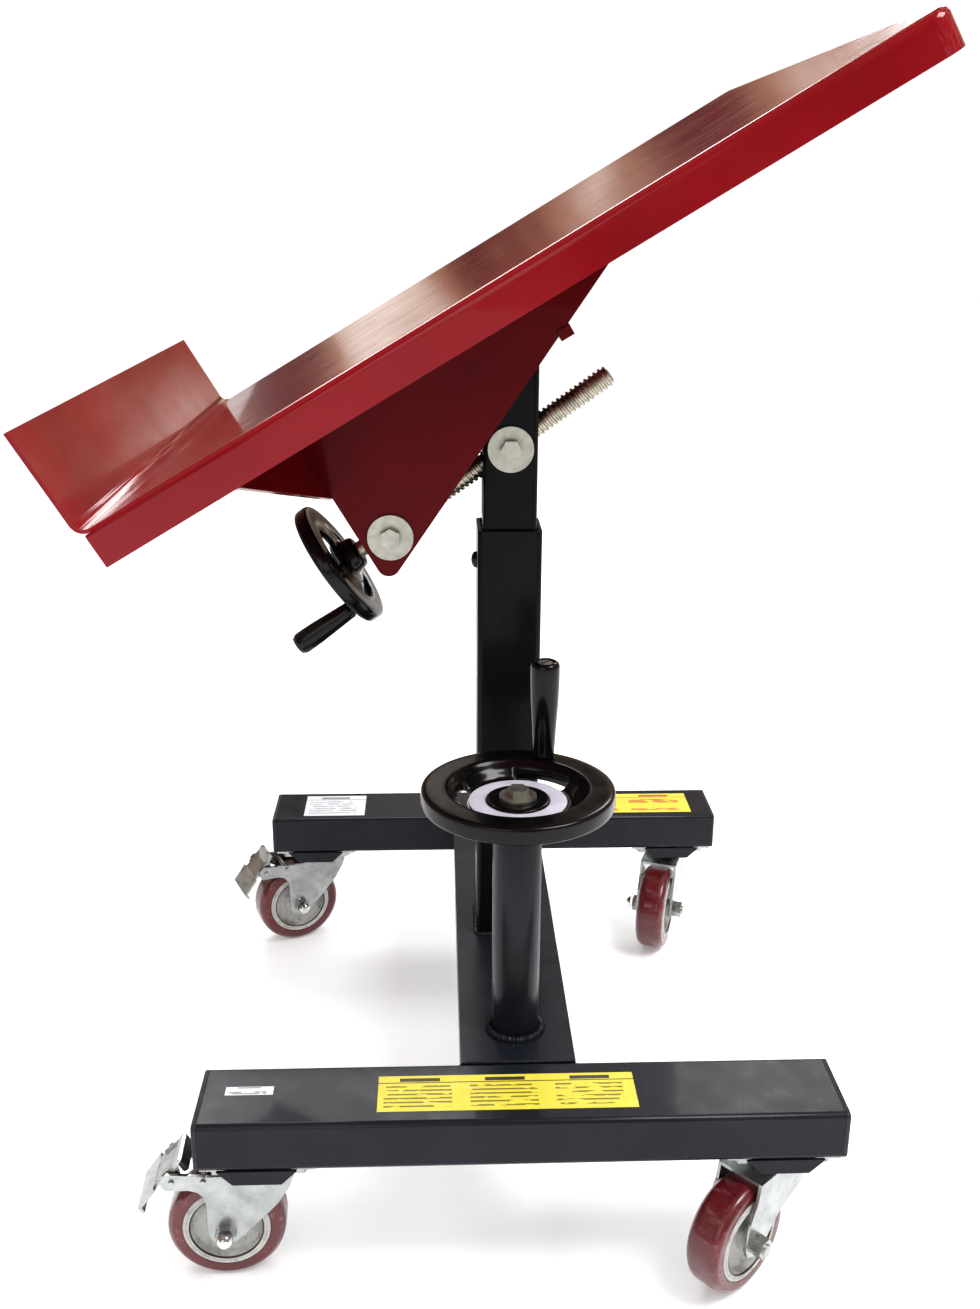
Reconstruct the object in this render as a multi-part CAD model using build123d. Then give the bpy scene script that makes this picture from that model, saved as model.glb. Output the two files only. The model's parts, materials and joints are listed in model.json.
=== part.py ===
from build123d import *
import os
from math import atan2, cos, degrees, hypot, pi, radians, sin

# Mobile tilting work table: a tray on a telescoping column, on an H-shaped base with four casters.
# Millimetres. +X to the right along the beams, +Y from the front beam to the rear beam, +Z up.
# Everything is drawn about the column's axis, with the floor at z = 0, and shifted on saving so that
# the origin lies on the floor under the middle of the whole outline.

os.makedirs("parts", exist_ok=True)

# ---- driving dimensions: base frame ----
beam_length = 530.0
beam_width = 80.0
beam_height = 44.0
beam_wall = 4.0
beam_radius = 5.0
base_depth = 650.0
beam_top = 169.0
spine_width = 100.0
spine_wall = 4.0
cover_thickness = 3.0
cap_flange = 4.0
cap_plug_length = 7.0

# ---- column and lift drive ----
outer_side = 60.0
outer_wall = 3.5
outer_top = 589.0
inner_side = 50.0
inner_wall = 3.0
inner_bottom = 199.0
pad_height = 40.0
pad_gap = 0.1
post_radius = 21.2
post_wall = 3.0
post_y = -192.0
post_top = 381.0
shaft_radius = 9.0
screw_radius = 10.0
lift_screw_top = 484.0
guide_bolt_z = 555.0
bore_gap = 0.06
sprocket_radius = 25.5
sprocket_low = 141.0
sprocket_height = 6.0
chain_inner_radius = 26.0
chain_thickness = 7.0

# ---- lift handwheel ----
lift_wheel_radius = 83.0
lift_wheel_top = 406.0
lift_wheel_dish = 11.0
hub_seat = 6.0
lift_grip_length = 90.0
lift_grip_at = (26.5, 64.0)

# ---- tray and tilt drive ----
tilt = 30.8
hinge_z = 781.0
tray_length = 660.0
tray_width = 660.0
tray_skirt = 29.0
sheet = 3.0
deck_above_hinge = 54.0
ledge_height = 81.0
ledge_bend = 8.0
skirt_bend = 7.0
corner_bend = 18.0
bracket_outside = 40.0
bracket_thickness = 4.0
bracket_low_end = -220.0
bracket_high_end = 208.5
bracket_drop = 200.5
bracket_tip_radius = 11.0
gusset_drop = 108.0
gusset_thickness = 3.5
lower_pivot = (-194.0, -111.0)
nut_pivot_drop = 117.0
hinge_pin_radius = 10.0
hinge_tube_radius = 16.0
washer_radius = 21.0
pivot_bolt_radius = 5.0
stop_bar_at = (33.0, -34.0)
stop_bar_width = 13.0
stop_bar_height = 10.0
tilt_screw_end = 246.0
tilt_wheel_radius = 62.5
tilt_wheel_distance = 58.0
tilt_grip_length = 62.0
tilt_grip_offset = 54.0
tilt_grip_turn = 232.0
bearing_half = 19.0

# ---- casters ----
wheel_radius = 50.0
wheel_width = 32.0
hub_radius = 37.0
caster_x = 218.0
braked_trail = 32.0
plain_trail = 50.0
fork_top = 107.0
fork_sheet = 3.0
fork_gap = 38.0
axle_radius = 5.0
arm_reach = 83.0
pin_radius = 2.5
plate_thickness = 3.5
plate_bolt_x = 34.0
plate_bolt_y = 25.0
guard_drop = 13.0
guard_thickness = 3.0
stay_pin = (48.0, 102.5)
pedal_pin = (74.0, 103.0)
# rest heading of each caster's trailing side, degrees from +X
caster_headings = {
    "front_left": 182.0,
    "rear_left": 204.0,
    "front_right": 222.0,
    "rear_right": 250.0,
}
braked = ("front_left", "rear_left")

# ---- worked out ----
beam_bottom = beam_top - beam_height
beam_y = base_depth / 2 - beam_width / 2
spine_half = base_depth / 2 - beam_width
inner_top = hinge_z - hinge_tube_radius + 4
bracket_inside = bracket_outside - bracket_thickness
tray_frame = Pos(0, 0, hinge_z) * Rot(0, -tilt, 0)
pivot_world = tray_frame * Pos(lower_pivot[0], 0, lower_pivot[1])
nut_z = hinge_z - nut_pivot_drop
screw_rise = nut_z - pivot_world.position.Z
screw_angle = degrees(atan2(screw_rise, -pivot_world.position.X))
# local +X runs up the tilt screw, from the bearing towards the nut
screw_frame = Pos(pivot_world.position.X, 0, pivot_world.position.Z) * Rot(0, -screw_angle, 0)
nut_distance = hypot(pivot_world.position.X, screw_rise)
caster_places = {
    "front_left": (-caster_x, -beam_y),
    "rear_left": (-caster_x, beam_y),
    "front_right": (caster_x, -beam_y),
    "rear_right": (caster_x, beam_y),
}

caster_trails = {name: braked_trail if name in braked else plain_trail for name in caster_places}

nodes = {}


def block(low, high):
    """A box between two corners."""
    size = [b - a for a, b in zip(low, high)]
    middle = [(a + b) / 2 for a, b in zip(low, high)]
    return Pos(*middle) * Box(*size)


def rod(radius, low, high, x=0.0, y=0.0):
    """An upright cylinder between two heights."""
    return Pos(x, y, (low + high) / 2) * Cylinder(radius, high - low)


def ring(outer, inner, low, high, x=0.0, y=0.0):
    """An upright hollow cylinder."""
    return rod(outer, low, high, x, y) - rod(inner, low - 1, high + 1, x, y)


def rod_y(radius, low, high, x=0.0, z=0.0):
    """A cylinder along Y."""
    return Pos(x, (low + high) / 2, z) * Rot(90, 0, 0) * Cylinder(radius, high - low)


def rod_x(radius, low, high, y=0.0, z=0.0):
    """A cylinder along X."""
    return Pos((low + high) / 2, y, z) * Rot(0, 90, 0) * Cylinder(radius, high - low)


def hexagon(flats, low, high, x=0.0, y=0.0):
    """An upright hexagonal prism, by its width across flats."""
    outline = RegularPolygon(flats / 2, 6, major_radius=False)
    return Pos(x, y, low) * extrude(outline, high - low)


def flat_xz(points, low, high):
    """A plate drawn in X and Z, between two Y values."""
    outline = make_face(Polyline(*[(x, 0, z) for x, z in points], close=True))
    return Pos(0, low, 0) * extrude(outline, high - low, dir=(0, 1, 0))


def flat_yz(points, low, high):
    """A plate drawn in Y and Z, between two X values."""
    outline = make_face(Polyline(*[(0, y, z) for y, z in points], close=True))
    return Pos(low, 0, 0) * extrude(outline, high - low, dir=(1, 0, 0))


def turned(points):
    """A solid turned about Z from an outline in radius and height."""
    outline = make_face(Polyline(*[(r, 0, z) for r, z in points], close=True))
    return revolve(outline, Axis.Z)


def add(name, shape):
    """Keep one sub-part: one solid, or a group of separate solids."""
    nodes[name] = Compound(list(shape)) if isinstance(shape, list) else shape


def rounded_tube(width, height, length, wall, radius):
    """A rectangular tube along X, centred on the origin."""
    outside = extrude(RectangleRounded(width, height, radius), length / 2, both=True)
    inside = extrude(RectangleRounded(width - 2 * wall, height - 2 * wall, radius - 3), length, both=True)
    return Plane.YZ * (outside - inside)


def make_beams():
    tube = rounded_tube(beam_width, beam_height, beam_length, beam_wall, beam_radius)
    middle_z = beam_top - beam_height / 2
    for name, y in (("front_beam", -beam_y), ("rear_beam", beam_y)):
        add(name, Pos(0, y, middle_z) * tube)
    caps = []
    plug_width = beam_width - 2 * beam_wall - 0.4
    plug_height = beam_height - 2 * beam_wall - 0.4
    for y in (-beam_y, beam_y):
        for side in (-1, 1):
            flange = extrude(RectangleRounded(beam_width, beam_height, beam_radius), cap_flange)
            plug = extrude(RectangleRounded(plug_width, plug_height, 1.8), -cap_plug_length)
            hollow = extrude(RectangleRounded(plug_width - 5, plug_height - 5, 1), -cap_plug_length - 1)
            cap = fillet((flange + plug).edges().group_by(Axis.Z)[-1], 1.5) - hollow
            turn = Rot(0, 0, 0 if side > 0 else 180)
            caps.append(Pos(side * beam_length / 2, y, middle_z) * turn * (Plane.YZ * cap))
    add("beam_end_caps", caps)


def make_spine():
    """An inverted channel between the beams, closed below by a screwed cover that carries the bushes."""
    half = spine_width / 2
    channel = block((-half, -spine_half, beam_bottom), (half, spine_half, beam_top))
    channel -= block(
        (-half + spine_wall, -spine_half - 1, beam_bottom - 1),
        (half - spine_wall, spine_half + 1, beam_top - spine_wall),
    )
    channel -= rod(shaft_radius + 2, beam_top - 10, beam_top + 1, 0, post_y)
    channel -= rod(screw_radius - 1, beam_top - 10, beam_top + 1)
    lug = half - spine_wall
    screw_rows = (-spine_half + 15, 90, spine_half - 15)
    screw_spots = [(side * (lug - 6), y) for side in (-1, 1) for y in screw_rows]
    for x, y in screw_spots:
        edge = lug if x > 0 else -lug
        low, high = sorted((x - 6 if x > 0 else x + 6, edge))
        channel += block((low, y - 8, beam_bottom + cover_thickness), (high, y + 8, beam_bottom + 15))
        channel -= rod(2.5, beam_bottom + cover_thickness - 1, beam_bottom + 13, x, y)
    add("spine_channel", channel)

    cover = block(
        (-lug, -spine_half + 0.5, beam_bottom),
        (lug, spine_half - 0.5, beam_bottom + cover_thickness),
    )
    for y in (post_y, 0.0):
        cover -= rod(14, beam_bottom - 1, beam_bottom + 10, 0, y)
    screws = []
    for x, y in screw_spots:
        cover -= rod(2.8, beam_bottom - 1, beam_bottom + 10, x, y)
        head = rod(4.5, beam_bottom - 2.5, beam_bottom, x, y)
        screws.append(head + rod(2.5, beam_bottom - 0.1, beam_bottom + 11, x, y))
    add("chain_cover", cover)
    add("cover_screws", screws)

    bushes = []
    for y in (post_y, 0.0):
        bush = ring(14, shaft_radius - 1 + bore_gap, beam_bottom, beam_bottom + 8, 0, y)
        bush += ring(18, shaft_radius - 1 + bore_gap, beam_bottom + cover_thickness, beam_bottom + 8, 0, y)
        bushes.append(bush)
    top_bush = ring(post_radius - post_wall, shaft_radius + bore_gap, post_top - 18, post_top, 0, post_y)
    top_bush += ring(post_radius, shaft_radius + bore_gap, post_top, post_top + 2, 0, post_y)
    add("shaft_bushes", bushes + [top_bush])


def make_column():
    half = outer_side / 2
    inside = half - outer_wall
    tube = extrude(RectangleRounded(outer_side, outer_side, 5), outer_top - beam_top)
    tube -= extrude(RectangleRounded(2 * inside, 2 * inside, 2), outer_top - beam_top)
    tube = Pos(0, 0, beam_top) * tube
    tube -= rod_x(4.2, -half - 1, -inside + 1, 0, guide_bolt_z)
    add("outer_column", tube)
    post = ring(post_radius, post_radius - post_wall, beam_top, post_top, 0, post_y)
    add("handwheel_post", post)

    gap = inner_side / 2 + pad_gap
    pads = extrude(RectangleRounded(2 * inside, 2 * inside, 2), pad_height)
    pads -= extrude(RectangleRounded(2 * gap, 2 * gap, 4), pad_height)
    pads = Pos(0, 0, outer_top - pad_height - 4) * pads
    pads -= rod_x(4.2, -half - 1, -gap + 1, 0, guide_bolt_z)
    add("guide_sleeve", pads)
    bolt = rod_x(4, -half, -gap - 0.3, 0, guide_bolt_z)
    dome = turned([(0, 0), (8, 0), (7.4, 2.6), (4.5, 4.6), (0, 5.4)])
    add("guide_bolt", bolt + Pos(-half, 0, guide_bolt_z) * Rot(0, -90, 0) * dome)

    bore = screw_radius - 2 + bore_gap
    add("screw_bearing", ring(24, bore, beam_top, beam_top + 14))


def make_lift_drive():
    journal = screw_radius - 2
    screw = rod(journal, beam_bottom + 1, beam_top + 14.3)
    screw += rod(18, beam_top + 14.3, beam_top + 19)
    screw += rod(screw_radius, beam_top + 19, lift_screw_top)
    add("lift_screw", screw)
    shaft_end = lift_wheel_top - lift_wheel_dish - hub_seat
    shaft = rod(shaft_radius - 1, beam_bottom + 1, sprocket_low, 0, post_y)
    shaft += rod(shaft_radius, sprocket_low, shaft_end, 0, post_y)
    shaft -= rod(5, shaft_end - 12, shaft_end + 1, 0, post_y)
    add("handwheel_shaft", shaft)

    teeth = 12
    for name, y, bore in (("drive_sprocket", post_y, shaft_radius), ("driven_sprocket", 0.0, journal)):
        wheel = rod(sprocket_radius, sprocket_low, sprocket_low + sprocket_height)
        for tooth in range(teeth):
            turn = radians(360 / teeth * tooth)
            wheel -= rod(3.2, sprocket_low - 1, sprocket_low + 10, 26 * cos(turn), 26 * sin(turn))
        wheel += rod(14, sprocket_low, sprocket_low + 14)
        wheel -= rod(bore, sprocket_low - 1, sprocket_low + 20)
        add(name, Pos(0, y, 0) * wheel)

    outer = chain_inner_radius + chain_thickness
    chain = Pos(0, post_y / 2, sprocket_low) * Rot(0, 0, 90) * (
        extrude(SlotCenterToCenter(-post_y, 2 * outer), sprocket_height)
        - extrude(SlotCenterToCenter(-post_y, 2 * chain_inner_radius), sprocket_height)
    )
    add("roller_chain", chain)


def wheel_body(radius, rim_inner, hub, rim_height, dish, face):
    """A dished handwheel with three openings, turned about Z; its rim's face is at z = face."""
    outline = [
        (0, face - dish),
        (hub, face - dish),
        (hub, face - dish - 3),
        (rim_inner - 14, face - dish - 3),
        (rim_inner, face - 2),
        (rim_inner + 2, face),
        (radius - 3, face),
        (radius, face - 3),
        (radius, face - rim_height + 3),
        (radius - 3, face - rim_height),
        (rim_inner - 2, face - rim_height),
        (rim_inner - 12, face - dish - 8),
        (hub, face - dish - 8),
        (hub - 6, face - dish - 12),
        (0, face - dish - 12),
    ]
    return turned(outline)


def windows(inner, outer, low, high, start):
    """Three curved openings between spokes."""
    cuts = []
    for turn in (start, start + 120, start + 240):
        cut = ring(outer, inner, low, high)
        wedge = []
        for corner in (-30, 30):
            wedge.append((3 * outer * cos(radians(turn + corner)), 3 * outer * sin(radians(turn + corner))))
        face = make_face(Polyline((0, 0), wedge[0], wedge[1], close=True))
        cuts.append(cut & (Pos(0, 0, low) * extrude(face, high - low)))
    return cuts


def grip_sleeve(length, thin, thick, bore):
    """A revolving handle, turned about Z: a thin foot that swells to a domed end with a sunk face."""
    outline = [
        (bore, 0),
        (thin, 0),
        (thin, 3),
        (thin + 0.55 * (thick - thin), 0.4 * length),
        (thick, 0.75 * length),
        (thick, length - 3),
        (thick - 3, length),
        (bore + 4, length),
        (bore + 4, length - 4),
        (bore, length - 4),
    ]
    return turned(outline)


def make_lift_wheel():
    face = lift_wheel_top
    hub_top = face - lift_wheel_dish
    wheel = wheel_body(lift_wheel_radius, 60, 27.6, 16, lift_wheel_dish, face)
    for cut in windows(43.5, 53, face - 30, face + 1, 180):
        wheel -= cut
    wheel -= rod(shaft_radius, face - 30, hub_top - hub_seat)
    wheel -= rod(5, face - 30, hub_top + 1)
    grip_x, grip_y = lift_grip_at
    wheel -= rod(4, face - 30, face + 1, grip_x, grip_y)
    place = Pos(0, post_y, 0)
    add("lift_handwheel", place * wheel)
    add("lift_wheel_ring", place * ring(42, 27.7, hub_top - 3, hub_top - 2))
    washer = ring(16, 5.2, hub_top, hub_top + 3)
    bolt = rod(5, hub_top - 16, hub_top + 3) + hexagon(16, hub_top + 3, hub_top + 9.4)
    add("lift_wheel_fasteners", [place * washer, place * bolt])

    spindle = rod(4, face - 15, face + lift_grip_length - 3.5)
    spindle += rod(6.6, face + lift_grip_length - 3.5, face + lift_grip_length - 1)
    grip_place = Pos(grip_x, post_y + grip_y, 0)
    add("lift_grip_spindle", grip_place * spindle)
    sleeve = Pos(0, 0, face + 0.3) * grip_sleeve(lift_grip_length - 0.3, 9.5, 13, 4 + bore_gap)
    add("lift_grip", grip_place * sleeve)


def make_mast():
    """The inner column, its hinge tube and the nut that climbs the lift screw."""
    half = inner_side / 2
    inside = half - inner_wall
    tube = extrude(RectangleRounded(inner_side, inner_side, 4), inner_top - inner_bottom)
    tube -= extrude(RectangleRounded(2 * inside, 2 * inside, 1.5), inner_top - inner_bottom)
    tube = Pos(0, 0, inner_bottom) * tube
    slot_reach = 12.5
    tube -= block((-half - 1, -slot_reach, nut_z - 66), (-inside + 1, slot_reach, nut_z + 34))
    tube -= block((inside - 1, -slot_reach, nut_z - 34), (half + 1, slot_reach, nut_z + 66))
    for side in (-1, 1):
        low, high = sorted((side * (inside - 1), side * (half + 1)))
        tube -= rod_y(5, low, high, 0, nut_z)
    hinge_tube = rod_y(hinge_tube_radius, -bracket_inside + 0.5, bracket_inside - 0.5, 0, hinge_z)
    tube -= rod_y(hinge_tube_radius, -60, 60, 0, hinge_z)
    add("inner_column", tube)
    add("hinge_tube", hinge_tube - rod_y(hinge_pin_radius + bore_gap, -60, 60, 0, hinge_z))

    nut = Pos(0, 0, inner_bottom) * extrude(RectangleRounded(2 * inside, 2 * inside, 1.5), 8)
    nut += rod(17, inner_bottom + 8, inner_bottom + 32)
    nut -= rod(screw_radius + bore_gap, inner_bottom - 1, inner_bottom + 40)
    add("lift_nut", nut)

    bolts = []
    for side in (-1, 1):
        turn = Pos(0, side * half, nut_z) * Rot(-90 * side, 0, 0)
        bolts.append(turn * ring(washer_radius, 5.2, 0, 3))
        bolts.append(turn * (hexagon(17, 3, 9.6) + rod(5, -inner_wall - 5, 3)))
    add("nut_pivot_bolts", bolts)


def make_tray():
    """The pressed tray with its skirt and upturned ledge, drawn level about the hinge axis."""
    low_end = -tray_length / 2
    half = tray_width / 2
    top = deck_above_hinge

    def pan(inset, start, depth, bend, corner):
        """A block with rounded corners and a rounded upper rim, on three of its sides."""
        length = tray_length - start - inset
        width = tray_width - 2 * inset
        outline = Pos(start, 0, 0) * Rectangle(length, width, align=(Align.MIN, Align.CENTER))
        outline = fillet(outline.vertices().group_by(Axis.X)[-1], corner)
        solid = extrude(outline, -depth)
        upper = solid.edges().group_by(Axis.Z)[-1]
        return fillet([edge for edge in upper if edge.center().X > start + 1], bend)

    outside = pan(0, 2.0, tray_skirt, skirt_bend, corner_bend)
    inside = Pos(0, 0, -sheet) * pan(sheet, -20.0, tray_skirt, skirt_bend - sheet, corner_bend - sheet)
    deck = outside - inside
    deck -= block((0, -half - 1, -sheet), (ledge_bend, half + 1, 1))
    bend = ledge_bend
    with BuildPart() as ledge:
        with BuildSketch(Plane.XZ.offset(-half)):
            with BuildLine():
                Polyline((bend, 0), (bend, -sheet))
                RadiusArc((bend, -sheet), (-sheet, bend), bend + sheet)
                Polyline((-sheet, bend), (-sheet, ledge_height), (0, ledge_height), (0, bend))
                RadiusArc((0, bend), (bend, 0), -bend)
            make_face()
        extrude(amount=2 * half)
    tray = deck + ledge.part
    add("tray", tray_frame * Pos(low_end, 0, top) * tray)

    add_brackets(top - sheet)
    add_gusset(top)
    add_tray_pins()


def add_brackets(under):
    """Two three-cornered plates beneath the deck, and the bar across them that stops against the column."""
    tip = under - bracket_drop
    corners = [(bracket_low_end, under), (bracket_low_end, tip), (bracket_high_end, under)]
    outline = make_face(Polyline(*corners, close=True))
    outline = fillet([outline.vertices().sort_by(Axis.Y)[0]], bracket_tip_radius)
    stop_x, stop_z = stop_bar_at
    low_x, high_x = stop_x - stop_bar_width / 2, stop_x + stop_bar_width / 2
    low_z, high_z = stop_z - stop_bar_height / 2, stop_z + stop_bar_height / 2
    plate = Rot(90, 0, 0) * extrude(outline, bracket_thickness)
    plate -= rod_y(hinge_pin_radius, -20, 20)
    plate -= rod_y(pivot_bolt_radius + 0.2, -20, 20, *lower_pivot)
    plate -= block((low_x, -20, low_z), (high_x, 20, high_z))
    plates = [tray_frame * Pos(0, y, 0) * plate for y in (-bracket_inside, bracket_outside)]
    add("bracket_plates", plates)
    reach = bracket_outside + 2
    add("stop_bar", tray_frame * block((low_x, -reach, low_z), (high_x, reach, high_z)))


def add_gusset(top):
    """A cross plate under the deck, welded to the brackets' low ends and to the skirts."""
    edge = tray_width / 2 - sheet
    under = top - sheet
    outline = [
        (-edge + 5, under),
        (-edge, under - 5),
        (-edge, top - tray_skirt),
        (-bracket_outside, top - gusset_drop),
        (bracket_outside, top - gusset_drop),
        (edge, top - tray_skirt),
        (edge, under - 5),
        (edge - 5, under),
    ]
    plate = flat_yz(outline, bracket_low_end - gusset_thickness, bracket_low_end)
    add("cross_gusset", tray_frame * plate)


def add_tray_pins():
    """The pin in the mast's hinge tube, and the two bolts that hold the tilt bearing."""
    add("hinge_pin", tray_frame * rod_y(hinge_pin_radius, -bracket_outside, bracket_outside))
    bolts = []
    for side in (-1, 1):
        place = Pos(lower_pivot[0], side * bracket_outside, lower_pivot[1])
        turn = tray_frame * place * Rot(-90 * side, 0, 0)
        bolts.append(turn * ring(washer_radius, pivot_bolt_radius + 0.2, 0, 3))
        bolts.append(turn * (hexagon(17, 3, 9.6) + rod(pivot_bolt_radius, -bracket_thickness - 14, 3)))
    add("tilt_pivot_bolts", bolts)


def make_tilt_drive():
    """Bearing block, screw, handwheel and nut, drawn along X from the block's pivot."""
    half = bearing_half
    reach = bracket_inside - 0.5
    housing = rod_y(half, -reach, reach) - rod_x(8 + bore_gap, -60, 60)
    for side in (-1, 1):
        low, high = sorted((side * (reach - 16), side * (reach + 1)))
        housing -= rod_y(5 + bore_gap, low, high)
    add("tilt_bearing", screw_frame * housing)

    wheel_at = -tilt_wheel_distance
    screw = rod_x(8, wheel_at + 5, half + 5)
    screw += rod_x(14, half + 0.4, half + 5.4)
    screw += rod_x(screw_radius, half + 5, tilt_screw_end)
    screw += rod_x(12, -half - 12, -half - 0.4)
    screw -= rod_x(4, wheel_at - 5, wheel_at + 14)
    add("tilt_screw", screw_frame * screw)

    face = 10.0
    wheel = wheel_body(tilt_wheel_radius, 47, 20, 14, 9, face)
    for cut in windows(26, 41, face - 30, face + 1, 100):
        wheel -= cut
    wheel += rod(14, face - 34, face - 20)
    wheel -= rod(8, face - 40, face - 15)
    wheel -= rod(4, face - 40, face)
    grip_turn = radians(tilt_grip_turn)
    grip_at = (tilt_grip_offset * cos(grip_turn), tilt_grip_offset * sin(grip_turn))
    wheel -= rod(3.5, face - 30, face + 1, *grip_at)
    # the wheel's face looks down the screw, away from the bearing
    wheel_frame = screw_frame * Pos(wheel_at, 0, 0) * Rot(0, -90, 0)
    add("tilt_handwheel", wheel_frame * wheel)
    washer = ring(13, 4.2, face - 9, face - 6.5)
    bolt = rod(4, face - 22, face - 6.5) + hexagon(13, face - 6.5, face - 1.5)
    add("tilt_wheel_fasteners", [wheel_frame * washer, wheel_frame * bolt])
    end = face + tilt_grip_length
    spindle = rod(3.5, face - 12, end - 3.5) + rod(5.6, end - 3.5, end - 1.2)
    grip_frame = wheel_frame * Pos(*grip_at, 0)
    add("tilt_grip_spindle", grip_frame * spindle)
    sleeve = Pos(0, 0, face + 0.3) * grip_sleeve(tilt_grip_length - 0.3, 8, 10.5, 3.5 + bore_gap)
    add("tilt_grip", grip_frame * sleeve)

    nut = block((nut_distance - 12, -16, -13.5), (nut_distance + 12, 16, 13.5))
    nut -= rod_x(screw_radius + bore_gap, nut_distance - 20, nut_distance + 20)
    add("tilt_nut", screw_frame * nut)


def plate_bolt_places(x, y):
    """The four bolt holes of the caster plate at (x, y)."""
    offsets = [(side_x * plate_bolt_x, side_y * plate_bolt_y) for side_x in (-1, 1) for side_y in (-1, 1)]
    return [(x + dx, y + dy) for dx, dy in offsets]


def make_caster_mounts():
    """Each caster's bolted top plate with its pressed cup and king pin, between two welded guards."""
    plate_low = beam_bottom - plate_thickness
    cup_low = fork_top + 1.4
    cup = turned(
        [(0, cup_low), (6, cup_low), (6, 111.9), (21, 111.9), (25, 115), (31, plate_low), (0, plate_low)]
    )
    pin = rod(6, fork_top - 5, 112) + rod(9, fork_top - 5.2, fork_top - 3.4)
    plates = []
    guards = []
    bolts = []
    for x, y in caster_places.values():
        plate = block((x - 47.5, y - 34, plate_low), (x + 47.5, y + 34, beam_bottom))
        for at in plate_bolt_places(x, y):
            plate -= rod(4.5, beam_bottom - 5, beam_bottom + 1, *at)
            head = hexagon(13, plate_low - 5.5, plate_low, *at)
            bolts.append(head + rod(4, plate_low - 0.1, beam_bottom + 6, *at))
        plates.append(plate + Pos(x, y, 0) * (cup + pin))
        low = beam_bottom - guard_drop
        guard = [(x - 33, beam_bottom), (x - 20, low), (x + 20, low), (x + 33, beam_bottom)]
        for face in (y - beam_width / 2, y + beam_width / 2 - guard_thickness):
            guards.append(flat_xz(guard, face, face + guard_thickness))
    add("caster_top_plates", plates)
    add("caster_guards", guards)
    add("caster_plate_bolts", bolts)


def drill_beams():
    """Clearance holes for the caster plates' bolts."""
    beams = {-beam_y: "front_beam", beam_y: "rear_beam"}
    for x, y in caster_places.values():
        for at in plate_bolt_places(x, y):
            nodes[beams[y]] -= rod(4.3, beam_bottom - 1, beam_bottom + 5, *at)


def fork_side(trail, arm):
    """The side of a fork in X (trailing) and Z, about the swivel axis at x = 0."""
    front = [(-27, fork_top), (-24, 96), (-13, 78), (trail - 30, 62), (trail - 10, 42)]
    foot = [(trail, wheel_radius - 13), (trail + 11, 42), (trail + 14.5, 50)]
    if arm:
        neck = [(46.5, 78), (48, 86), (53, 92), (60, 94.5)]
        tip = [(arm_reach - 4, 95), (arm_reach, 100), (arm_reach - 1, 107), (arm_reach - 5, 111), (58, 109)]
        return front + foot + neck + tip + [(46, fork_top)]
    return front + foot + [(trail + 10, 74), (trail + 1, 92), (trail - 2, fork_top)]


def make_fork(trail, arm):
    """Two sheet sides under a round raceway, about the swivel axis."""
    inside = fork_gap / 2
    outside = inside + fork_sheet
    side = fork_side(trail, arm)
    fork = flat_xz(side, inside, outside) + flat_xz(side, -outside, -inside)
    back = 30 if arm else trail - 2
    fork += block((-27, -outside, fork_top - fork_sheet), (back, outside, fork_top))
    fork += rod(27, fork_top - 0.1, 111.5)
    fork -= rod(6.4, fork_top - 10, 120)
    fork -= rod(22, 111.2, 120)
    fork -= rod(9.5, fork_top - 10, fork_top - fork_sheet)
    fork -= rod_y(axle_radius, -40, 40, trail, wheel_radius)
    if arm:
        for pin in (stay_pin, pedal_pin):
            fork -= rod_y(pin_radius, -40, 40, *pin)
    return fork


def make_axle(trail, arm):
    """The axle bolt and its nut; a braked caster has two riveted pins as well."""
    outside = fork_gap / 2 + fork_sheet
    nut_side = -1 if arm else 1
    centre = Pos(trail, 0, wheel_radius)
    bolt = rod(axle_radius, -outside - 6.4, outside + 12) + hexagon(16, outside, outside + 10)
    bolt += hexagon(16, -outside - 6.5, -outside)
    pieces = [centre * Rot(-90 * nut_side, 0, 0) * bolt]
    if arm:
        for pin in (stay_pin, pedal_pin):
            pieces.append(rod_y(pin_radius, -outside - 2, outside + 2, *pin))
    return pieces


def make_caster(name):
    x, y = caster_places[name]
    turn = Pos(x, y, 0) * Rot(0, 0, caster_headings[name])
    arm = name in braked
    trail = caster_trails[name]
    add(f"{name}_fork", turn * make_fork(trail, arm))
    add(f"{name}_axle", [turn * piece for piece in make_axle(trail, arm)])

    place = turn * Pos(trail, 0, wheel_radius) * Rot(90, 0, 0)
    half = wheel_width / 2
    right_face = [(hub_radius, -half), (wheel_radius - 5, -half), (wheel_radius - 1.2, -half + 4)]
    right_face.append((wheel_radius, -half + 9))
    tread = turned(right_face + [(r, -z) for r, z in reversed(right_face)])
    hub_half = fork_gap / 2 - 0.5
    bore = axle_radius + bore_gap
    web = [(bore, -hub_half), (10, -hub_half), (13, -6), (30, -6), (31.5, -half), (hub_radius, -half)]
    hub = turned(web + [(r, -z) for r, z in reversed(web)])
    add(f"{name}_tread", place * tread)
    add(f"{name}_hub", place * hub)
    if arm:
        add(f"{name}_pedal", turn * make_pedal())


def make_pedal():
    """A foot-brake pedal on the arm's outer pin: a bent plate, wider at its foot, with two cheeks."""
    cheek = [(67, 107), (69, 119), (85, 105), (82, 98), (71, 97)]
    upper_face = [(68.5, 122.5), (74, 113), (88, 99), (103, 80)]
    toe = [(99, 74), (97, 76), (99.5, 80)]
    under_face = [(85.5, 97), (71, 111), (65, 122.5)]
    pedal = flat_xz(cheek, 15, 17.5) + flat_xz(cheek, -17.5, -15)
    pedal += flat_xz(upper_face + toe + under_face, -18, 18)
    pedal += flat_xz([(89, 99), (103, 80)] + toe + [(87, 97)], -23, 23)
    return pedal - rod_y(pin_radius + bore_gap, -40, 40, *pedal_pin)


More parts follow.
